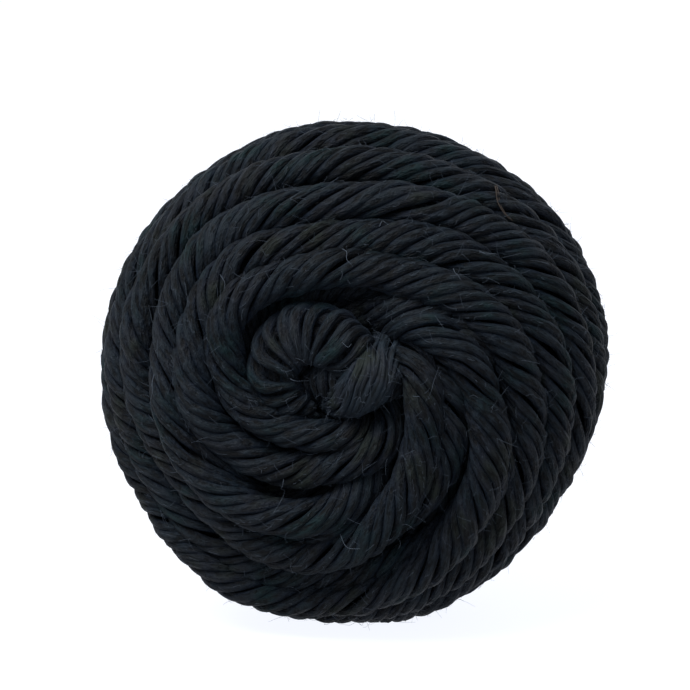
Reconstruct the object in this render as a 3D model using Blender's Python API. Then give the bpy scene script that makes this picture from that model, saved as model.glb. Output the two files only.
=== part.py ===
"""A ball of thick plied cotton yarn, one solid of its wound form: turns that spiral out from a pole.

The winding axis lies along Y with the rosette of turns that shows at -Y. Z is up, and the ball rests on a
small flat spot at Z = 0. Lengths are in millimetres until the mesh is made.
"""

import bmesh
import bpy
import numpy as np

MM = 0.001
WIDE, DEEP, HIGH = 43.2, 33.8, 42.8  # half the size of the ball that the outer turns would just touch
ROUNDNESS = 2.4  # 2 is an ellipsoid, and more has a flatter face and a fuller shoulder
FLOOR = 41.6  # from the centre down to the flat spot
STRAND_THICK = 6.3
STRAND_WIDE = (5.7, 7.4)  # within 10 mm of the pole, where the turns are tight, and from 32 mm out
SINK = 1.7  # how far a turn presses into what it lies on
CORE_DEPTH = 9.6  # from the outer form to the plain core that the turns are laid on
MOST_RISE = 3.0  # how far a turn that crosses others stands over the outer form
CLIMB = 4.5  # length over which a turn climbs from one level to the next
DIVE = 11.0  # length over which the end of an arm goes down between its neighbours
GROWTH = 46.0  # how far an arm moves from pole to pole in one turn round the axis
FAR_TURN = 234  # the far rosette is this one turned over, and round by so many degrees
STEP = 1.4  # degrees of clock between samples of a turn
TRIANGLES = 10600

# The arms of yarn round the pole, from the lowest to the one on top. Most come out at the clock angle
# "first", clockwise from the top, and "out" has their distance from the pole over the surface at every 45
# degrees of clock from there. "side" is the clock angle at which an arm crosses the widest round of the
# ball, where it meets its mate from the far rosette, or None for one that dives on the near face. The short
# arms in the rosette are points instead, right of the pole and up from it over the surface, with widths.
ARMS = [
    dict(name="low", first=56, out=(15.7, 21.4, 25.2, 24.0, 24.7, 25.0), side=None),
    dict(name="fourth", first=140, out=(16.5, 20.0, 24.9, 27.7, 35.3, 32.7, 44.0), side=537, mate="third"),
    dict(
        name="fifth",
        first=96,
        out=(12.5, 12.6, 12.6, 17.5, 22.6, 28.1, 25.1, 35.5, 43.5),
        side=597,
        mate="sixth",
    ),
    dict(
        name="second",
        first=48,
        out=(16.4, 15.3, 19.4, 28.1, 30.5, 38.2, 42.6, 43.5, 51.0),
        side=477,
        mate="second",
    ),
    dict(name="third", first=94, out=(30.2, 34.5, 34.5, 40.0, 44.9, 50.0), side=417, mate="fourth"),
    dict(
        name="shoulder",
        points=(
            (6.4, 14.9),
            (9.4, 15.6),
            (12.6, 15.0),
            (18.5, 13.5),
            (23.8, 10.6),
            (27.9, 6.4),
            (30.2, 1.6),
        ),
        wide=(5.6, 6.0, 6.2, 6.4, 6.6, 6.6, 6.4),
        side=None,
    ),
    dict(
        name="first",
        first=135,
        out=(8.7, 7.3, 8.2, 15.7, 22.0, 20.1, 24.9, 34.8),
        side=657,
        mate="first",
    ),
    dict(name="sixth", first=38, out=(17.1, 24.6, 31.3, 36.8, 42.0), side=357, mate="fifth"),
    dict(
        name="heart",
        points=((-6.1, -0.4), (-3.6, 0.7), (-0.6, 1.8), (3.2, 2.8), (7.5, 3.0), (11.4, 2.9), (13.4, 2.6)),
        wide=(5.2, 5.6, 6.4, 7.6, 8.0, 6.8, 5.6),
        side=None,
    ),
    dict(
        name="fan",
        points=(
            (-4.1, -2.8),
            (-6.4, -1.5),
            (-8.3, 0.9),
            (-9.0, 3.9),
            (-8.3, 7.1),
            (-6.6, 9.4),
            (-4.1, 10.5),
            (-1.2, 10.6),
            (1.6, 9.6),
            (4.1, 7.9),
            (5.8, 5.8),
            (6.9, 3.1),
        ),
        wide=(5.5, 6.6, 7.6, 8.8, 9.8, 10.4, 10.6, 10.4, 10.0, 9.6, 8.4, 6.4),
        side=None,
    ),
    dict(
        name="tuft",
        points=(
            (1.0, -1.9),
            (3.4, -1.1),
            (5.5, 0.5),
            (7.4, 2.7),
            (9.2, 5.0),
            (10.4, 7.3),
            (11.6, 9.9),
        ),
        wide=(5.0, 6.4, 7.6, 8.0, 7.8, 6.8, 5.4),
        side=None,
    ),
]

# The turns of the layer below, which show between the arms.
UNDER = dict(arms=6, growth=42.0, nearest=7.0)

# How far the outline of the ball stands out or falls in, in thousandths, every 15 degrees of clock from the
# top, a quarter of the way round in each row.
OUTLINE = (
    (-14, -19, -13, 6, 15, 16)
    + (0, -35, -46, -62, 8, 29)
    + (8, 35, 21, -47, -88, -64)
    + (-12, 7, 1, -22, -15, 3)
)


def meridian():
    """Distance over the surface from the pole to the widest round, with the place at each distance."""
    turn = np.linspace(0, np.pi / 2, 4001)
    out = np.sin(turn) ** (2 / ROUNDNESS)
    along = DEEP * np.cos(turn) ** (2 / ROUNDNESS)
    steps = np.hypot(np.diff(WIDE * out), np.diff(along))
    return np.concatenate([[0], np.cumsum(steps)]), out, along


DISTANCES, OUTS, ALONGS = meridian()
QUARTER = DISTANCES[-1]


def direction(clock, distance):
    """Unit vectors from the centre towards a clock angle and a distance over the surface from the pole."""
    clock = np.radians(clock)
    distance = np.asarray(distance, float)
    near = np.minimum(distance, 2 * QUARTER - distance)
    out = np.interp(near, DISTANCES, OUTS)
    along = np.interp(near, DISTANCES, ALONGS) * np.sign(distance - QUARTER)
    places = np.stack([WIDE * out * np.sin(clock), along, HIGH * out * np.cos(clock)], axis=-1)
    return places / np.linalg.norm(places, axis=-1, keepdims=True)


def outer_form(ways):
    """How far the outer form reaches in each direction, with the swells and hollows of the outline."""
    round_axis = np.hypot(ways[:, 0] / WIDE, ways[:, 2] / HIGH) ** ROUNDNESS
    reach = (round_axis + np.abs(ways[:, 1] / DEEP) ** ROUNDNESS) ** (-1 / ROUNDNESS)
    clock = np.degrees(np.arctan2(ways[:, 0], ways[:, 2]))
    change = np.interp(clock, np.linspace(0, 345, 24), OUTLINE, period=360) / 1000
    return reach * (1 + change * (1 - ways[:, 1] ** 2) ** 2)


def smoothed(values, spread):
    """The values averaged along their length, with ends that stay put."""
    reach = max(1, int(3 * spread))
    offsets = np.arange(-reach, reach + 1)
    weights = np.exp(-0.5 * (offsets / spread) ** 2)
    before = 2 * values[0] - values[reach:0:-1]
    after = 2 * values[-1] - values[-2 : -reach - 2 : -1]
    return np.convolve(np.concatenate([before, values, after]), weights / weights.sum(), "valid")


def knots_of(arm):
    """Clock angles and distances of an arm from where it comes out to the widest round of the ball."""
    clocks = [arm["first"] + 45.0 * i for i in range(len(arm["out"]))]
    distances = list(arm["out"])
    if arm["side"] is not None:
        count = max(2, round((arm["side"] - clocks[-1]) / 45) - 1)
        for clock in np.linspace(clocks[-1] + 60, arm["side"], count):
            clocks.append(clock)
            distances.append(QUARTER + GROWTH * (clock - arm["side"]) / 360)
    return np.array(clocks), np.array(distances)


def path_of(arm):
    """Clock angles, distances and widths along an arm. One with a side goes on over it to the far pole."""
    if "points" in arm:
        places = np.array(arm["points"], float)
        lengths = np.concatenate([[0], np.cumsum(np.hypot(*np.diff(places, axis=0).T))])
        along = np.arange(0, lengths[-1], 0.3)
        right, up, wide = (
            smoothed(np.interp(along, lengths, values), 5) for values in (*places.T, arm["wide"])
        )
        return np.degrees(np.arctan2(right, up)), np.hypot(right, up), wide
    clocks, distances = knots_of(arm)
    if arm["side"] is not None:
        mate = next(other for other in ARMS if other["name"] == arm["mate"])
        far_clocks, far_distances = knots_of(mate)
        clocks = np.concatenate([clocks, arm["side"] + mate["side"] - far_clocks[-2::-1]])
        distances = np.concatenate([distances, 2 * QUARTER - far_distances[-2::-1]])
    along = np.arange(clocks[0], clocks[-1], STEP)
    distances = smoothed(np.interp(along, clocks, distances), 13 / STEP)
    return along, distances, width_at(distances)


def width_at(distance):
    """How wide a turn is at a distance from the nearer pole."""
    return np.interp(np.minimum(distance, 2 * QUARTER - distance), [10, 32], STRAND_WIDE)


def under_paths():
    """The same for each turn of the layer below."""
    turns = 2 * (QUARTER - UNDER["nearest"]) / UNDER["growth"]
    along = np.arange(0, 360 * turns, STEP)
    distance = UNDER["nearest"] + UNDER["growth"] * along / 360
    for arm in range(UNDER["arms"]):
        yield along + 360 * arm / UNDER["arms"], distance, width_at(distance)


def lay(ways, height, clock, distance, wide, dives):
    """Lays one arm on the surface and returns the new surface: a tube that rests on what is under it."""
    path = direction(clock, distance)
    near = path.astype(np.float32) @ ways.T.astype(np.float32)
    level = np.where(near > np.cos(0.055), height.astype(np.float32), 0).max(axis=1)
    steps = 40 * np.linalg.norm(np.diff(path, axis=0), axis=1)
    centre = smoothed(level, CLIMB / steps.mean()) + STRAND_THICK / 2 - SINK
    nominal = outer_form(path) - STRAND_THICK / 2
    over = np.maximum(centre - nominal, 0)
    centre = np.minimum(centre, nominal) + MOST_RISE * np.tanh(over / MOST_RISE)
    if dives:
        along = np.concatenate([[0], np.cumsum(steps)])
        ends = np.minimum(along, along[-1] - along)
        centre -= STRAND_THICK * np.clip(1 - ends / DIVE, 0, 1) ** 2
    closest = near.argmax(axis=0)
    cosine = np.clip((path[closest] * ways).sum(axis=1), -1, 1)
    radius = centre[closest]
    aside = radius * np.sqrt(1 - cosine**2) / (wide[closest] / 2)
    tube = radius * cosine + STRAND_THICK / 2 * np.sqrt(np.clip(1 - aside**2, 0, 1))
    return np.where(aside < 1, np.maximum(height, tube), height)


def wound_surface(ways):
    """How far the ball reaches in each direction."""
    height = outer_form(ways) - CORE_DEPTH
    for clock, distance, wide in under_paths():
        height = lay(ways, height, clock, distance, wide, dives=False)
    for arm in ARMS:
        clock, distance, wide = path_of(arm)
        height = lay(ways, height, clock, distance, wide, dives=True)
        if arm["side"] is None:
            height = lay(ways, height, FAR_TURN - clock, 2 * QUARTER - distance, wide, dives=True)
    return height


def clear_scene():
    for thing in list(bpy.data.objects):
        bpy.data.objects.remove(thing, do_unlink=True)


def cotton():
    material = bpy.data.materials.new("black_cotton")
    material.use_nodes = True
    shader = material.node_tree.nodes["Principled BSDF"]
    shader.inputs["Base Color"].default_value = (0.012, 0.014, 0.016, 1.0)
    shader.inputs["Roughness"].default_value = 0.9
    return material


def fine_ball(mesh):
    """The wound surface in small faces, pressed flat where it would go through the floor."""
    shape = bmesh.new()
    bmesh.ops.create_icosphere(shape, subdivisions=7, radius=1.0)
    ways = np.array([vertex.co.normalized()[:] for vertex in shape.verts])
    for vertex, way, reach in zip(shape.verts, ways, wound_surface(ways)):
        vertex.co = way * reach * MM
    for _ in range(2):
        bmesh.ops.smooth_vert(
            shape, verts=shape.verts, factor=0.5, use_axis_x=True, use_axis_y=True, use_axis_z=True
        )
    for vertex in shape.verts:
        vertex.co.z = max(vertex.co.z + FLOOR * MM, 0.0)
    shape.to_mesh(mesh)
    shape.free()


def make_ball():
    mesh = bpy.data.meshes.new("fine_ball")
    fine_ball(mesh)
    ball = bpy.data.objects.new("yarn_ball", mesh)
    bpy.context.collection.objects.link(ball)
    fewer = ball.modifiers.new("fewer faces", "DECIMATE")
    fewer.ratio = TRIANGLES / len(mesh.polygons)
    fewer.use_collapse_triangulate = True
    bpy.context.view_layer.update()
    graph = bpy.context.evaluated_depsgraph_get()
    ball.data = bpy.data.meshes.new_from_object(ball.evaluated_get(graph))
    ball.modifiers.clear()
    corners = np.array([vertex.co[:] for vertex in ball.data.vertices])
    middle = (corners.min(axis=0) + corners.max(axis=0)) / 2
    for vertex in ball.data.vertices:
        vertex.co.x -= middle[0]
        vertex.co.y -= middle[1]
        if vertex.co.z < 0.06 * MM:
            vertex.co.z = 0.0
    ball.data.name = "yarn_ball"
    ball.data.materials.append(cotton())


clear_scene()
make_ball()
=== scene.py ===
"""A ball of chunky black cotton yarn, seen at the end of its winding axis on a plain white ground.

Lengths are in millimetres until a mesh is made. The winding axis is Y, with the rosette that shows at -Y.
"""

import bmesh
import bpy
import numpy as np
from mathutils import Euler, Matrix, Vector


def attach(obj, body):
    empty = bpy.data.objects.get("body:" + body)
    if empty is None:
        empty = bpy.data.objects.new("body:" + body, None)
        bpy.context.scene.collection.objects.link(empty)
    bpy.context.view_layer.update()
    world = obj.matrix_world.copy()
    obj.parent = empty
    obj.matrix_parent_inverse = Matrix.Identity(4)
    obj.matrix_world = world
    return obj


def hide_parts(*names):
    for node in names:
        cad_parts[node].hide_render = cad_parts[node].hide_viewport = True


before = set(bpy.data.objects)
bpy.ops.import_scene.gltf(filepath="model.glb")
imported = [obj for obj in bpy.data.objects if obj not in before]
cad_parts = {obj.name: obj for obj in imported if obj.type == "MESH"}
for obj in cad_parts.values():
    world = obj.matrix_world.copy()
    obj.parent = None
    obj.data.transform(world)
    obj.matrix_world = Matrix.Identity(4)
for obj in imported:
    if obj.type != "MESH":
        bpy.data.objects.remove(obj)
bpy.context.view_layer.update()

MM = 0.001


# The camera. A long lens a little above the ball and a little round to its right, so that the rosette shows
# left of the middle and below it. The solid stands centred on its outer box, and the middle of the winding
# lies a little off that.
BALL_CENTRE = np.array([-0.199, 0.014, 41.6])
AZIMUTH, ELEVATION, DISTANCE = 8.3, 7.6, 400.0
FIELD = 117.3  # what the picture takes in from side to side at the ball
PICTURE = 690  # pixels a side
SHIFT = (-9.5, 24.0)  # pixels that the picture is shifted right and up


def towards(azimuth, elevation):
    """A unit vector from the ball, at degrees round to the right of the front and degrees up."""
    azimuth, elevation = np.radians(azimuth), np.radians(elevation)
    level = np.cos(elevation)
    return np.array([np.sin(azimuth) * level, -np.cos(azimuth) * level, np.sin(elevation)])


camera_data = bpy.data.cameras.new("camera")
camera = bpy.data.objects.new("camera", camera_data)
bpy.context.scene.collection.objects.link(camera)
camera_data.sensor_width = 36.0
camera_data.lens = camera_data.sensor_width * DISTANCE / FIELD
camera_data.shift_x, camera_data.shift_y = SHIFT[0] / PICTURE, SHIFT[1] / PICTURE
camera.location = Vector((BALL_CENTRE + towards(AZIMUTH, ELEVATION) * DISTANCE) * MM)
camera.rotation_euler = Euler((np.pi / 2 - np.radians(ELEVATION), 0.0, np.radians(AZIMUTH)))
bpy.context.scene.camera = camera


# The form that the yarn takes. One strand is wound round a short axis, so each layer is a set of arms that
# spiral from one rosette over the side to the other. The same table as in the solid places each arm, and
# each is laid on what is already there.
WIDE, DEEP, HIGH = 43.2, 33.8, 42.8  # half the size of the ball that the outer turns would just touch
ROUNDNESS = 2.4  # 2 is an ellipsoid, and more has a flatter face and a fuller shoulder
STRAND_THICK = 6.3
STRAND_WIDE = (5.7, 7.4)  # within 10 mm of the pole, where the turns are tight, and from 32 mm out
SINK = 1.7  # how far a turn presses into what it lies on
CORE_DEPTH = 9.6  # from the outer form to the plain core that the turns are laid on
CORE_SINK = 2.4  # how far the core that is made lies under the top of the layer below
MOST_RISE = 3.0  # how far a turn that crosses others stands over the outer form
CLIMB = 4.5  # length over which a turn climbs from one level to the next
DIVE = 11.0  # length over which the end of an arm goes down between its neighbours
TOUCH = 0.055  # radians to each side of a turn's middle line in which it rests on what is there
MEAN_REACH = 40.0
GROWTH = 46.0  # how far an arm moves from pole to pole in one turn round the axis
FAR_TURN = 234  # the far rosette is this one turned over, and round by so many degrees
STEP = 1.4  # degrees of clock between samples of a turn

# The arms of yarn round the pole, from the lowest to the one on top. Most come out at the clock angle
# "first", clockwise from the top, and "out" has their distance from the pole over the surface at every 45
# degrees of clock from there. "side" is the clock angle at which an arm crosses the widest round of the
# ball, where it meets its mate from the far rosette, or None for one that dives on the near face. The short
# arms in the rosette are points instead, right of the pole and up from it over the surface, with widths.
ARMS = [
    dict(name="low", first=56, out=(15.7, 21.4, 25.2, 24.0, 24.7, 25.0), side=None),
    dict(name="fourth", first=140, out=(16.5, 20.0, 24.9, 27.7, 35.3, 32.7, 44.0), side=537, mate="third"),
    dict(
        name="fifth",
        first=96,
        out=(12.5, 12.6, 12.6, 17.5, 22.6, 28.1, 25.1, 35.5, 43.5),
        side=597,
        mate="sixth",
    ),
    dict(
        name="second",
        first=48,
        out=(16.4, 15.3, 19.4, 28.1, 30.5, 38.2, 42.6, 43.5, 51.0),
        side=477,
        mate="second",
    ),
    dict(name="third", first=94, out=(30.2, 34.5, 34.5, 40.0, 44.9, 50.0), side=417, mate="fourth"),
    dict(
        name="shoulder",
        points=(
            (6.4, 14.9),
            (9.4, 15.6),
            (12.6, 15.0),
            (18.5, 13.5),
            (23.8, 10.6),
            (27.9, 6.4),
            (30.2, 1.6),
        ),
        wide=(5.6, 6.0, 6.2, 6.4, 6.6, 6.6, 6.4),
        side=None,
    ),
    dict(
        name="first",
        first=135,
        out=(8.7, 7.3, 8.2, 15.7, 22.0, 20.1, 24.9, 34.8),
        side=657,
        mate="first",
    ),
    dict(name="sixth", first=38, out=(17.1, 24.6, 31.3, 36.8, 42.0), side=357, mate="fifth"),
    dict(
        name="heart",
        points=((-6.1, -0.4), (-3.6, 0.7), (-0.6, 1.8), (3.2, 2.8), (7.5, 3.0), (11.4, 2.9), (13.4, 2.6)),
        wide=(5.2, 5.6, 6.4, 7.6, 8.0, 6.8, 5.6),
        side=None,
    ),
    dict(
        name="fan",
        points=(
            (-4.1, -2.8),
            (-6.4, -1.5),
            (-8.3, 0.9),
            (-9.0, 3.9),
            (-8.3, 7.1),
            (-6.6, 9.4),
            (-4.1, 10.5),
            (-1.2, 10.6),
            (1.6, 9.6),
            (4.1, 7.9),
            (5.8, 5.8),
            (6.9, 3.1),
        ),
        wide=(5.5, 6.6, 7.6, 8.8, 9.8, 10.4, 10.6, 10.4, 10.0, 9.6, 8.4, 6.4),
        side=None,
    ),
    dict(
        name="tuft",
        points=(
            (1.0, -1.9),
            (3.4, -1.1),
            (5.5, 0.5),
            (7.4, 2.7),
            (9.2, 5.0),
            (10.4, 7.3),
            (11.6, 9.9),
        ),
        wide=(5.0, 6.4, 7.6, 8.0, 7.8, 6.8, 5.4),
        side=None,
    ),
]

# The turns of the layer below, which show between the arms.
UNDER = dict(arms=6, growth=42.0, nearest=7.0)

# How far the outline of the ball stands out or falls in, in thousandths, every 15 degrees of clock from the
# top, a quarter of the way round in each row.
OUTLINE = (
    (-14, -19, -13, 6, 15, 16)
    + (0, -35, -46, -62, 8, 29)
    + (8, 35, 21, -47, -88, -64)
    + (-12, 7, 1, -22, -15, 3)
)


def meridian():
    """Distance over the surface from the pole to the widest round, with the place at each distance."""
    turn = np.linspace(0, np.pi / 2, 4001)
    out = np.sin(turn) ** (2 / ROUNDNESS)
    along = DEEP * np.cos(turn) ** (2 / ROUNDNESS)
    steps = np.hypot(np.diff(WIDE * out), np.diff(along))
    return np.concatenate([[0], np.cumsum(steps)]), out, along


DISTANCES, OUTS, ALONGS = meridian()
QUARTER = DISTANCES[-1]


def direction(clock, distance):
    """Unit vectors from the centre towards a clock angle and a distance over the surface from the pole."""
    clock = np.radians(clock)
    distance = np.asarray(distance, float)
    near = np.minimum(distance, 2 * QUARTER - distance)
    out = np.interp(near, DISTANCES, OUTS)
    along = np.interp(near, DISTANCES, ALONGS) * np.sign(distance - QUARTER)
    places = np.stack([WIDE * out * np.sin(clock), along, HIGH * out * np.cos(clock)], axis=-1)
    return places / np.linalg.norm(places, axis=-1, keepdims=True)


def outer_form(ways):
    """How far the outer form reaches in each direction, with the swells and hollows of the outline."""
    round_axis = np.hypot(ways[:, 0] / WIDE, ways[:, 2] / HIGH) ** ROUNDNESS
    reach = (round_axis + np.abs(ways[:, 1] / DEEP) ** ROUNDNESS) ** (-1 / ROUNDNESS)
    clock = np.degrees(np.arctan2(ways[:, 0], ways[:, 2]))
    change = np.interp(clock, np.linspace(0, 345, 24), OUTLINE, period=360) / 1000
    return reach * (1 + change * (1 - ways[:, 1] ** 2) ** 2)


def smoothed(values, spread):
    """The values averaged along their length, with ends that stay put."""
    reach = max(1, int(3 * spread))
    offsets = np.arange(-reach, reach + 1)
    weights = np.exp(-0.5 * (offsets / spread) ** 2)
    before = 2 * values[0] - values[reach:0:-1]
    after = 2 * values[-1] - values[-2 : -reach - 2 : -1]
    return np.convolve(np.concatenate([before, values, after]), weights / weights.sum(), "valid")


def knots_of(arm):
    """Clock angles and distances of an arm from where it comes out to the widest round of the ball."""
    clocks = [arm["first"] + 45.0 * i for i in range(len(arm["out"]))]
    distances = list(arm["out"])
    if arm["side"] is not None:
        count = max(2, round((arm["side"] - clocks[-1]) / 45) - 1)
        for clock in np.linspace(clocks[-1] + 60, arm["side"], count):
            clocks.append(clock)
            distances.append(QUARTER + GROWTH * (clock - arm["side"]) / 360)
    return np.array(clocks), np.array(distances)


def path_of(arm):
    """Clock angles, distances and widths along an arm. One with a side goes on over it to the far pole."""
    if "points" in arm:
        places = np.array(arm["points"], float)
        lengths = np.concatenate([[0], np.cumsum(np.hypot(*np.diff(places, axis=0).T))])
        along = np.arange(0, lengths[-1], 0.3)
        right, up, wide = (
            smoothed(np.interp(along, lengths, values), 5) for values in (*places.T, arm["wide"])
        )
        return np.degrees(np.arctan2(right, up)), np.hypot(right, up), wide
    clocks, distances = knots_of(arm)
    if arm["side"] is not None:
        mate = next(other for other in ARMS if other["name"] == arm["mate"])
        far_clocks, far_distances = knots_of(mate)
        clocks = np.concatenate([clocks, arm["side"] + mate["side"] - far_clocks[-2::-1]])
        distances = np.concatenate([distances, 2 * QUARTER - far_distances[-2::-1]])
    along = np.arange(clocks[0], clocks[-1], STEP)
    distances = smoothed(np.interp(along, clocks, distances), 13 / STEP)
    return along, distances, width_at(distances)


def width_at(distance):
    """How wide a turn is at a distance from the nearer pole."""
    return np.interp(np.minimum(distance, 2 * QUARTER - distance), [10, 32], STRAND_WIDE)


def under_paths():
    """The same for each turn of the layer below."""
    turns = 2 * (QUARTER - UNDER["nearest"]) / UNDER["growth"]
    along = np.arange(0, 360 * turns, STEP)
    distance = UNDER["nearest"] + UNDER["growth"] * along / 360
    for arm in range(UNDER["arms"]):
        yield along + 360 * arm / UNDER["arms"], distance, width_at(distance)


def lay(ways, height, clock, distance, wide, dives):
    """Lays one arm on the surface: returns the new surface, the arm's middle line and its half width."""
    path = direction(clock, distance)
    near = path.astype(np.float32) @ ways.T.astype(np.float32)
    level = np.where(near > np.cos(TOUCH), height.astype(np.float32), 0).max(axis=1)
    steps = MEAN_REACH * np.linalg.norm(np.diff(path, axis=0), axis=1)
    centre = smoothed(level, CLIMB / steps.mean()) + STRAND_THICK / 2 - SINK
    nominal = outer_form(path) - STRAND_THICK / 2
    over = np.maximum(centre - nominal, 0)
    centre = np.minimum(centre, nominal) + MOST_RISE * np.tanh(over / MOST_RISE)
    if dives:
        along = np.concatenate([[0], np.cumsum(steps)])
        ends = np.minimum(along, along[-1] - along)
        centre -= STRAND_THICK * np.clip(1 - ends / DIVE, 0, 1) ** 2
    closest = near.argmax(axis=0)
    cosine = np.clip((path[closest] * ways).sum(axis=1), -1, 1)
    radius = centre[closest]
    aside = radius * np.sqrt(1 - cosine**2) / (wide[closest] / 2)
    tube = radius * cosine + STRAND_THICK / 2 * np.sqrt(np.clip(1 - aside**2, 0, 1))
    height = np.where(aside < 1, np.maximum(height, tube), height)
    return height, path * centre[:, None], wide / 2


def sphere():
    """A fine ball of one millimetre radius, with every piece of the winding placed from its corners."""
    shape = bmesh.new()
    bmesh.ops.create_icosphere(shape, subdivisions=6, radius=1.0)
    return shape


def wind():
    """The middle lines and half widths of all the turns, with how far the core and the surface reach."""
    ball = sphere()
    ways = np.array([vertex.co.normalized()[:] for vertex in ball.verts])
    ball.free()
    height = outer_form(ways) - CORE_DEPTH
    below, above = [], []
    for clock, distance, wide in under_paths():
        height, line, half = lay(ways, height, clock, distance, wide, dives=False)
        below.append((line, half))
    core = height - CORE_SINK
    for arm in ARMS:
        clock, distance, wide = path_of(arm)
        height, line, half = lay(ways, height, clock, distance, wide, dives=True)
        above.append((arm["name"], line, half))
        if arm["side"] is None:
            clock, distance = FAR_TURN - clock, 2 * QUARTER - distance
            height, line, half = lay(ways, height, clock, distance, wide, dives=True)
            above.append(("far_" + arm["name"], line, half))
    return ways, core, height, below, above


sphere_ways, core_reach, surface_reach, under_turns, outer_turns = wind()


# The cotton. Near-black dyed fibres lie along each ply, so it looks matt and ragged. Painted shade darkens
# its grooves and the hidden side of each ply, and the crown that faces out keeps its full colour. The dye
# took unevenly, which leaves hints of green, rose and brown. Real fibres are about 0.02 mm thick, too fine
# to show, so they are drawn as clumps.
CLUMPS = 1.5  # to a millimetre across the ply, so each is 0.7 mm wide
CLUMP_SHORTER = 0.42  # how many there are along the ply for each across
STREAKS = 4.2
STREAK_SHORTER = 0.12
WORN_PATCHES = 75.0  # to a metre, so each is about 13 mm wide
DYE_PATCHES = 130.0  # about 8 mm wide
DYES = ((0.3, "7fb3b2"), (0.42, "a0adb9"), (0.52, "a4acb8"), (0.6, "aeaab6"), (0.7, "b6b6a0"))
# Painted shade of a ply: INSIDE on its hidden side and the groove colour in its grooves darken it and make
# it bluer, and CROWN, a little warmer, is what the side that faces out keeps.
INSIDE = (0.2, 0.27, 0.36, 1.0)  # what is left of the colour on the hidden side of a ply
CROWN = (1.0, 0.93, 0.83, 1.0)  # and on the side that stands out


def linear(code):
    """A colour from its sRGB hex code, as the scene's linear values."""
    parts = [int(code[i : i + 2], 16) / 255 for i in (0, 2, 4)]
    return tuple(p / 12.92 if p <= 0.04045 else ((p + 0.055) / 1.055) ** 2.4 for p in parts) + (1.0,)


def add(tree, kind, **sockets):
    """Adds a node. A keyword is an input's name or number with its value or the socket that feeds it."""
    node = tree.nodes.new("ShaderNode" + kind)
    for name, value in sockets.items():
        if name.startswith("_"):
            setattr(node, name[1:], value)
            continue
        socket = node.inputs[int(name[1:])] if name[0] == "i" and name[1:].isdigit() else node.inputs[name]
        if isinstance(value, bpy.types.NodeSocket):
            tree.links.new(value, socket)
        else:
            socket.default_value = value
    return node


def colours_along(ramp, stops):
    """Gives a new colour ramp node its stops, in place of the two that it starts with."""
    first, last = ramp.color_ramp.elements
    for (position, colour), element in zip((stops[0], stops[-1]), (first, last)):
        element.position, element.color = position, colour
    for position, colour in stops[1:-1]:
        ramp.color_ramp.elements.new(position).color = colour


def cotton_material(name, pale, dark, groove_shade, fibre_depth):
    material = bpy.data.materials.new(name)
    material.use_nodes = True
    tree = material.node_tree
    shader = tree.nodes["Principled BSDF"]
    fibre = add(tree, "Attribute", _attribute_name="fibre")
    ply = add(tree, "Attribute", _attribute_name="ply_tone")
    exposed = add(tree, "Attribute", _attribute_name="exposed")
    place = add(tree, "TexCoord")

    fibre_map = add(tree, "Mapping", Vector=fibre.outputs["Vector"], Scale=(1.0, 1.0, CLUMP_SHORTER))
    strands = add(tree, "TexNoise", Vector=fibre_map.outputs[0], Scale=CLUMPS, Detail=3.0, Roughness=0.6)
    streak_map = add(tree, "Mapping", Vector=fibre.outputs["Vector"], Scale=(1.0, 1.0, STREAK_SHORTER))
    streaks = add(tree, "TexNoise", Vector=streak_map.outputs[0], Scale=STREAKS, Detail=3.0, Roughness=0.6)
    patches = add(tree, "TexNoise", Vector=place.outputs["Object"], Scale=WORN_PATCHES, Detail=2.0)
    dye = add(tree, "TexNoise", Vector=place.outputs["Object"], Scale=DYE_PATCHES, Detail=1.0)

    tone = add(tree, "Math", _operation="MULTIPLY_ADD", i0=strands.outputs["Fac"], i1=3.4, i2=-2.0)
    shares = ((streaks.outputs["Fac"], 1.0), (ply.outputs["Fac"], 0.3), (patches.outputs["Fac"], 0.8))
    for part, share in shares:
        tone = add(tree, "Math", _operation="MULTIPLY_ADD", i0=part, i1=share, i2=tone.outputs[0])
    shade = add(tree, "ValToRGB", Fac=tone.outputs[0])
    colours_along(shade, ((0.3, linear(dark)), (1.0, linear(pale))))
    tints = add(tree, "ValToRGB", Fac=dye.outputs["Fac"])
    colours_along(tints, [(position, linear(code)) for position, code in DYES])
    # Painted shade: how far each face looks out of its strand darkens and blues the hidden side and grooves
    # of each ply, and leaves the crown at full colour.
    painted_shade = add(tree, "ValToRGB", Fac=exposed.outputs["Fac"])
    colours_along(painted_shade, ((0.0, INSIDE), (0.12, groove_shade), (0.95, CROWN)))
    times = dict(_data_type="RGBA", _blend_type="MULTIPLY", i0=1.0)
    tinted = add(tree, "Mix", i6=shade.outputs[0], i7=tints.outputs[0], **times)
    colour = add(tree, "Mix", i6=tinted.outputs[2], i7=painted_shade.outputs[0], **times)
    tree.links.new(colour.outputs[2], shader.inputs["Base Color"])

    coarse = add(tree, "Bump", Strength=1.0, Distance=fibre_depth * MM, Height=strands.outputs["Fac"])
    fine = add(tree, "Bump", Strength=0.8, Distance=0.2 * MM, Height=streaks.outputs["Fac"])
    tree.links.new(coarse.outputs[0], fine.inputs["Normal"])
    tree.links.new(fine.outputs[0], shader.inputs["Normal"])
    shader.inputs["Roughness"].default_value = 0.6
    shader.inputs["Specular IOR Level"].default_value = 0.06
    shader.inputs["Sheen Weight"].default_value = 0.03
    shader.inputs["Sheen Roughness"].default_value = 0.4
    shader.inputs["Sheen Tint"].default_value = linear("7f93ad")
    return material


cotton = cotton_material(
    "black_cotton_yarn", pale="20272d", dark="090c0f", groove_shade=(0.4, 0.5, 0.66, 1.0), fibre_depth=1.1
)
fluffed_cotton = cotton_material(
    "fluffed_black_cotton", pale="262e35", dark="12171b", groove_shade=(0.75, 0.8, 0.85, 1.0), fibre_depth=0.4
)


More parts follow.
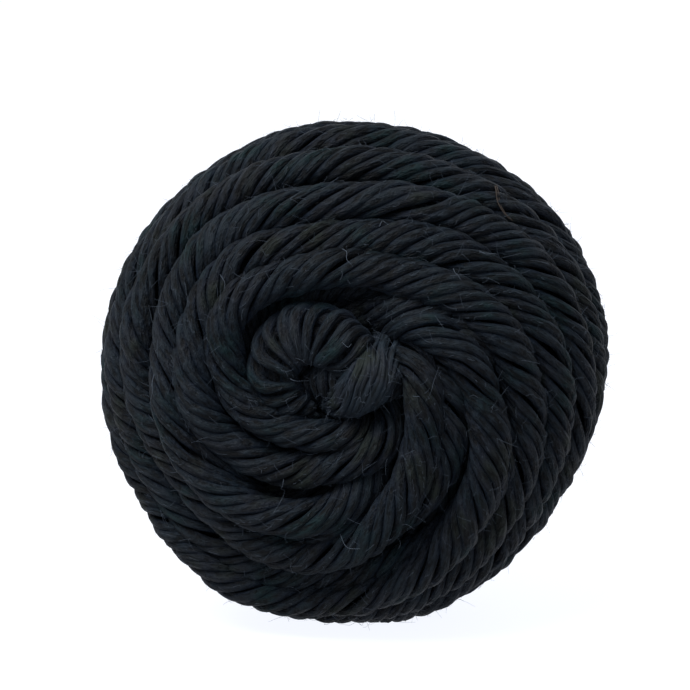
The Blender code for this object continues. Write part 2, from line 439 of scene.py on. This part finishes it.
# The arms of the outer layer. In each, eight soft plies are twisted S-wise round each other, so they show as
# slanting bars. The tight loops in the rosette have nine with more twist over a filled middle, and the tuft
# beside them is a fluffed stretch of many thin ones. Each arm is a piece of its own.
LOOSE = dict(plies=8, thick=1.75, lay=24.0, slant=0.0, pinch=0.0, filled=False)
TIGHT = dict(plies=9, thick=1.85, lay=16.0, slant=0.55, pinch=0.2, filled=True)
TUFT = dict(plies=34, thick=0.95, lay=50.0, slant=0.0, pinch=0.0, filled=True)
FILLING = (-0.45, 0, 0.45)  # where the tubes of the filled middle lie, in half widths
FILLING_THICK = 3.2

# How unevenly it is spun: each amount with the length of its waves.
UNEVEN = dict(
    twist=((0.8, 18),),
    thick=((0.1, 9), (0.3, 2.6)),
    angle=((0.22, 10), (0.08, 3)),
    out=((0.16, 11), (0.14, 4)),
    wide=((0.18, 11),),
)


def uneven(rng, length, what):
    """A smooth random line along a length, from waves that reach about their amount either way."""
    total = 0
    for amount, wave in UNEVEN[what]:
        knots = max(4, int(length[-1] / wave) + 4)
        values = rng.uniform(-1, 1, knots)
        total = total + amount * smoothed(np.interp(length, np.linspace(0, length[-1], knots), values), 1.2)
    return total


def plies_of(line, half, twist, step, rng):
    """The middle line of each ply, with its thickness, length and outer side at each point."""
    lengths = np.concatenate([[0], np.cumsum(np.linalg.norm(np.diff(line, axis=0), axis=1))])
    along = np.linspace(0, lengths[-1], int(lengths[-1] / step) + 1)
    line = np.stack([np.interp(along, lengths, line[:, axis]) for axis in range(3)], axis=-1)
    half = np.interp(along, lengths, half)
    forward = np.gradient(line, axis=0)
    forward /= np.linalg.norm(forward, axis=1, keepdims=True)
    outward = line / np.linalg.norm(line, axis=1, keepdims=True)
    aside = np.cross(forward, outward)
    aside /= np.linalg.norm(aside, axis=1, keepdims=True)
    outward = np.cross(aside, forward)
    turn = 2 * np.pi * along / twist["lay"] + uneven(rng, along, "twist") + rng.uniform(0, 6.28)
    for ply in range(twist["plies"]):
        thick = 1 + uneven(rng, along, "thick")
        angle = turn + 2 * np.pi * ply / twist["plies"] + uneven(rng, along, "angle")
        out = (STRAND_THICK - twist["thick"]) / 2 + uneven(rng, along, "out")
        wide = half - twist["thick"] / 2 + uneven(rng, along, "wide")
        shifted = np.clip(along + twist["slant"] * twist["lay"] / 4 * np.cos(angle), 0, lengths[-1])
        middle, side, up = (
            np.stack([np.interp(shifted, along, part[:, axis]) for axis in range(3)], axis=-1)
            for part in (line, aside, outward)
        )
        sideways, outwards = (wide * np.cos(angle))[:, None], (out * np.sin(angle))[:, None]
        thick = thick * (1 - twist["pinch"] * np.cos(angle))
        facing = side * np.cos(angle)[:, None] + up * np.sin(angle)[:, None]
        # Plies on the side of the strand towards the middle of the ball look out less, so the material
        # paints more shade on them.
        facing *= 0.65 + 0.35 * np.sin(angle)[:, None]
        yield middle + side * sideways + up * outwards, thick, along, facing
    if twist["filled"]:
        for share in FILLING:
            inner = line + aside * (share * half)[:, None]
            # The filling tubes are given no outward side, so all of them take the painted shade of a ply's
            # hidden side.
            yield inner, np.full(len(along), FILLING_THICK / twist["thick"]), along, 0 * outward


def tubes(name, lines, thick, resolution, caps):
    """One mesh of round tubes along lines of points, each with its share of the thickness at every point."""
    curve = bpy.data.curves.new(name, "CURVE")
    curve.dimensions = "3D"
    curve.bevel_depth = thick / 2 * MM
    curve.bevel_resolution = resolution
    curve.use_fill_caps = caps
    for points, shares in lines:
        spline = curve.splines.new("POLY")
        spline.points.add(len(points) - 1)
        places = np.ones((len(points), 4))
        places[:, :3] = (points + BALL_CENTRE) * MM
        spline.points.foreach_set("co", places.ravel())
        spline.points.foreach_set("radius", shares)
        spline.use_smooth = True
    source = bpy.data.objects.new(name + "_curve", curve)
    bpy.context.scene.collection.objects.link(source)
    graph = bpy.context.evaluated_depsgraph_get()
    mesh = bpy.data.meshes.new_from_object(source.evaluated_get(graph))
    bpy.data.objects.remove(source)
    mesh.name = name
    return mesh


def place_piece(name, mesh, material):
    mesh.materials.clear()
    mesh.materials.append(material)
    piece = bpy.data.objects.new(name, mesh)
    bpy.context.scene.collection.objects.link(piece)
    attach(piece, "root")
    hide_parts("yarn_ball")


def close_ends(mesh):
    shape = bmesh.new()
    shape.from_mesh(mesh)
    bmesh.ops.holes_fill(shape, edges=[edge for edge in shape.edges if edge.is_boundary], sides=0)
    shape.to_mesh(mesh)
    shape.free()


def strand(name, turns, twist, step, sides, seed, material):
    """One piece of yarn, with what its material reads. Returns the places where stray fibres can start."""
    rng = np.random.default_rng(seed)
    lines, fibres, tones, outsides, roots = [], [], [], [], []
    ring = np.linspace(0, 2 * np.pi, sides, endpoint=False)
    round_ply = np.stack([np.cos(ring), np.sin(ring)], axis=-1) * twist["thick"] / 2
    for line, half in turns:
        for points, thick, along, facing in plies_of(line, half, twist, step, rng):
            lines.append((points, thick))
            across = np.broadcast_to(round_ply + rng.uniform(0, 900, 2), (len(points), sides, 2))
            lengths = np.broadcast_to(along[:, None, None], (len(points), sides, 1))
            fibres.append(np.concatenate([across, lengths], axis=2).reshape(-1, 3))
            tones.append(np.full(len(points) * sides, rng.uniform(0, 1)))
            outsides.append(facing)
            outer = np.linalg.norm(facing, axis=1) > 0.8
            surface = points + facing * twist["thick"] / 2
            roots.append(np.concatenate([surface, np.gradient(points, axis=0), facing], axis=1)[outer])
    mesh = tubes(name, lines, twist["thick"], sides // 2 - 2, caps=False)
    close_ends(mesh)
    fibres, tones = np.concatenate(fibres), np.concatenate(tones)
    if len(fibres) != len(mesh.vertices):
        raise ValueError(f"{name}: {len(mesh.vertices)} vertices, not {len(fibres)}")
    places = np.zeros(len(mesh.vertices) * 3)
    mesh.vertices.foreach_get("co", places)
    rings = places.reshape(-1, sides, 3)
    normals = rings - rings.mean(axis=1, keepdims=True)
    normals /= np.linalg.norm(normals, axis=2, keepdims=True)
    # How far each face of a ply looks out of the strand, which the material turns into painted shade on the
    # hidden side and in the grooves.
    exposed = (normals * np.concatenate(outsides)[:, None, :]).sum(axis=2)
    mesh.attributes.new("fibre", "FLOAT_VECTOR", "POINT").data.foreach_set("vector", fibres.ravel())
    mesh.attributes.new("ply_tone", "FLOAT", "POINT").data.foreach_set("value", tones)
    mesh.attributes.new("exposed", "FLOAT", "POINT").data.foreach_set("value", exposed.ravel())
    places = places.reshape(-1, 3)
    places[:, 2] = np.maximum(places[:, 2], 0.0)
    mesh.vertices.foreach_set("co", places.ravel())
    mesh.shade_smooth()
    place_piece(name, mesh, material)
    return np.concatenate(roots)


fibre_roots = []
for number, (name, line, half) in enumerate(outer_turns):
    kind = name.split("_")[-1]
    short = kind in ("heart", "fan", "tuft")
    roots = strand(
        "strand_" + name,
        [(line, half)],
        TUFT if kind == "tuft" else TIGHT if short else LOOSE,
        step=0.6 if short else 0.8,
        sides=8,
        seed=11 + number,
        material=fluffed_cotton if kind == "tuft" else cotton,
    )
    fibre_roots.append(roots)


# The layer below. The same yarn, in six arms with coarser faces, because it shows only as dark plies in the
# gaps between the outer ones, which hold it in place.
strand("under_layer", under_turns, LOOSE, step=2.0, sides=6, seed=5, material=cotton)


# The inside of the ball. The turns further in, too deep between the outer ones to be told apart, are one
# closed form that the layer below lies on.
INSIDE_OFF_FLOOR = 0.5


def inner_turns():
    shape = sphere()
    for vertex, way, reach in zip(shape.verts, sphere_ways, core_reach):
        vertex.co = way * reach * MM
    bmesh.ops.translate(shape, verts=shape.verts, vec=Vector(BALL_CENTRE * MM))
    for vertex in shape.verts:
        vertex.co.z = max(vertex.co.z, INSIDE_OFF_FLOOR * MM)
    mesh = bpy.data.meshes.new("inner_turns")
    shape.to_mesh(mesh)
    shape.free()
    mesh.shade_smooth()
    # The core carries no attribute of how far it looks out, so the material gives all of it the painted
    # shade of a ply's hidden side.
    place_piece("inner_turns", mesh, cotton)


inner_turns()


# The stray fibres. Ends of cotton that stand off the plies all over the ball are one joined piece. A few
# longer loose ones on the side that shows, and a wisp of brown near its edge, lie on the surface, given as
# places right of the pole and up from it. All are drawn thicker than real ones, so that they show.
LOOSE_FIBRES = [
    ((-5.5, 2.8), (-4.6, 2.3), (-3.6, 2.3), (-2.5, 2.5), (-1.3, 3.7)),
    ((-6.2, -13.0), (-6.6, -14.5), (-7.4, -15.6), (-6.8, -16.8), (-7.4, -17.5)),
    ((-27.2, 2.6), (-27.4, 1.2), (-27.0, -0.0), (-27.4, -1.4)),
    ((5.4, 0.6), (5.4, -0.5), (5.5, -2.0)),
    ((4.2, -0.4), (5.4, -0.2), (6.6, -0.5)),
    ((12.6, -0.2), (13.0, 0.6), (14.1, 0.7)),
    ((8.2, 26.7), (8.7, 28.3), (9.6, 27.2)),
    ((20.3, 20.7), (19.9, 19.2), (20.5, 17.9)),
    ((2.6, 23.1), (3.5, 22.1), (3.3, 20.7), (4.4, 19.8)),
    ((2.3, -22.1), (3.4, -23.0), (5.4, -22.6)),
    ((24.5, 23.7), (25.7, 23.1), (28.0, 23.9)),
    ((3.0, 8.6), (3.9, 7.7), (4.4, 8.4)),
    ((-16.9, 18.8), (-15.8, 17.6), (-15.9, 16.5)),
    ((32.4, 22.7), (34.2, 22.2), (35.4, 21.3)),
]
BROWN_FIBRE = ((29.9, 38.9), (30.1, 37.1), (30.7, 35.3), (31.6, 33.7), (32.8, 32.9), (34.0, 32.8))
BESIDE_IT = ((0, 0), (0.3, 0.1), (-0.2, -0.4))
FUZZ_COUNT = 5200
FUZZ_THICK, LOOSE_THICK, BROWN_THICK = 0.05, 0.07, 0.15
FIBRE_OFF_FLOOR = 0.2


def plain_cotton(name, code, roughness):
    material = bpy.data.materials.new(name)
    material.use_nodes = True
    shader = material.node_tree.nodes["Principled BSDF"]
    shader.inputs["Base Color"].default_value = linear(code)
    shader.inputs["Roughness"].default_value = roughness
    shader.inputs["Specular IOR Level"].default_value = 0.1
    return material


def stray_fibres(name, lines, thick, material):
    """Thin threads along the given lines of points, half as thick at their far ends, as one piece."""
    threads = []
    for line in lines:
        line[:, 2] = np.maximum(line[:, 2], FIBRE_OFF_FLOOR - BALL_CENTRE[2])
        threads.append((line, np.linspace(1.0, 0.5, len(line))))
    place_piece(name, tubes(name, threads, thick, 0, caps=True), material)


def fuzz(roots, count, seed):
    """Lines of short curved fibres from random places on the plies."""
    rng = np.random.default_rng(seed)
    share = np.linspace(0, 1, 5)[:, None]
    for root in roots[rng.integers(0, len(roots), count)]:
        place, ahead, out = root.reshape(3, 3)
        aside = np.cross(ahead, out)
        way = ahead * rng.normal(0, 1.2) + out * rng.uniform(0.1, 0.7) + aside * rng.normal(0, 0.6)
        bend = rng.normal(0, 0.5, 3) - out * rng.uniform(0, 0.5)
        length = rng.uniform(0.4, 1.3) + min(rng.exponential(0.4), 1.5)
        way /= np.linalg.norm(way)
        yield place + length * (way * share + bend * share**2)


def on_surface(points, lift):
    """A smooth line through the places, so far off the yarn that is there."""
    places = np.array(points)
    share = np.linspace(0, len(places) - 1, 4 * len(places))
    right, up = (smoothed(np.interp(share, np.arange(len(places)), axis), 1.5) for axis in places.T)
    ways = direction(np.degrees(np.arctan2(right, up)), np.hypot(right, up))
    reach = surface_reach[(ways @ sphere_ways.T).argmax(axis=1)]
    return ways * (smoothed(reach, 2) + lift)[:, None]


# The fuzz and the loose fibres are paler than the yarn: partly a lighter fibre colour, partly a painted
# highlight for the light that thin fibres catch.
pale_fibre = plain_cotton("pale_cotton_fibre", "343b44", 0.7)
stray_fibres("fuzz", fuzz(np.concatenate(fibre_roots), FUZZ_COUNT, 3), FUZZ_THICK, pale_fibre)
bright_fibre = plain_cotton("bright_cotton_fibre", "454d57", 0.6)
stray_fibres("loose_fibres", [on_surface(points, 0.4) for points in LOOSE_FIBRES], LOOSE_THICK, bright_fibre)
brown_fibre = plain_cotton("brown_cotton_fibre", "2f2925", 0.7)
wisp = [on_surface(np.array(BROWN_FIBRE) + shift, 0.1 + 0.1 * i) for i, shift in enumerate(BESIDE_IT)]
stray_fibres("brown_wisp", wisp, BROWN_THICK, brown_fibre)


# The ground. A white table lit from below, as in a product photo, so it stays white up to the ball and takes
# only a faint blue shade under it.
GROUND_HALF = 3.0  # metres


def ground():
    shape = bmesh.new()
    bmesh.ops.create_grid(shape, x_segments=1, y_segments=1, size=GROUND_HALF)
    mesh = bpy.data.meshes.new("floor")
    shape.to_mesh(mesh)
    shape.free()
    material = bpy.data.materials.new("white_floor")
    material.use_nodes = True
    shader = material.node_tree.nodes["Principled BSDF"]
    shader.inputs["Base Color"].default_value = linear("505050")
    shader.inputs["Roughness"].default_value = 0.9
    shader.inputs["Emission Color"].default_value = (0.97, 1.0, 1.08, 1.0)
    shader.inputs["Emission Strength"].default_value = 0.93
    mesh.materials.append(material)
    piece = bpy.data.objects.new("floor", mesh)
    bpy.context.scene.collection.objects.link(piece)


ground()


# The light. A large soft lamp high on the left, and a white studio all round that is a little blue.
LAMP_SIZE, LAMP_POWER, LAMP_DISTANCE = 0.6, 17.0, 0.9
LAMP_AZIMUTH, LAMP_ELEVATION = -32, 56

lamp_data = bpy.data.lights.new("key", "AREA")
lamp_data.shape = "DISK"
lamp_data.size = LAMP_SIZE
lamp_data.energy = LAMP_POWER
lamp = bpy.data.objects.new("key", lamp_data)
bpy.context.scene.collection.objects.link(lamp)
lamp_way = Vector(towards(LAMP_AZIMUTH, LAMP_ELEVATION))
lamp.location = Vector(BALL_CENTRE * MM) + lamp_way * LAMP_DISTANCE
lamp.rotation_euler = lamp_way.to_track_quat("Z", "Y").to_euler()

studio = bpy.data.worlds.new("studio")
bpy.context.scene.world = studio
studio.use_nodes = True
studio.node_tree.nodes["Background"].inputs["Color"].default_value = (0.99, 1.02, 1.07, 1.0)
studio.node_tree.nodes["Background"].inputs["Strength"].default_value = 1.03
bpy.context.scene.view_settings.view_transform = "Standard"
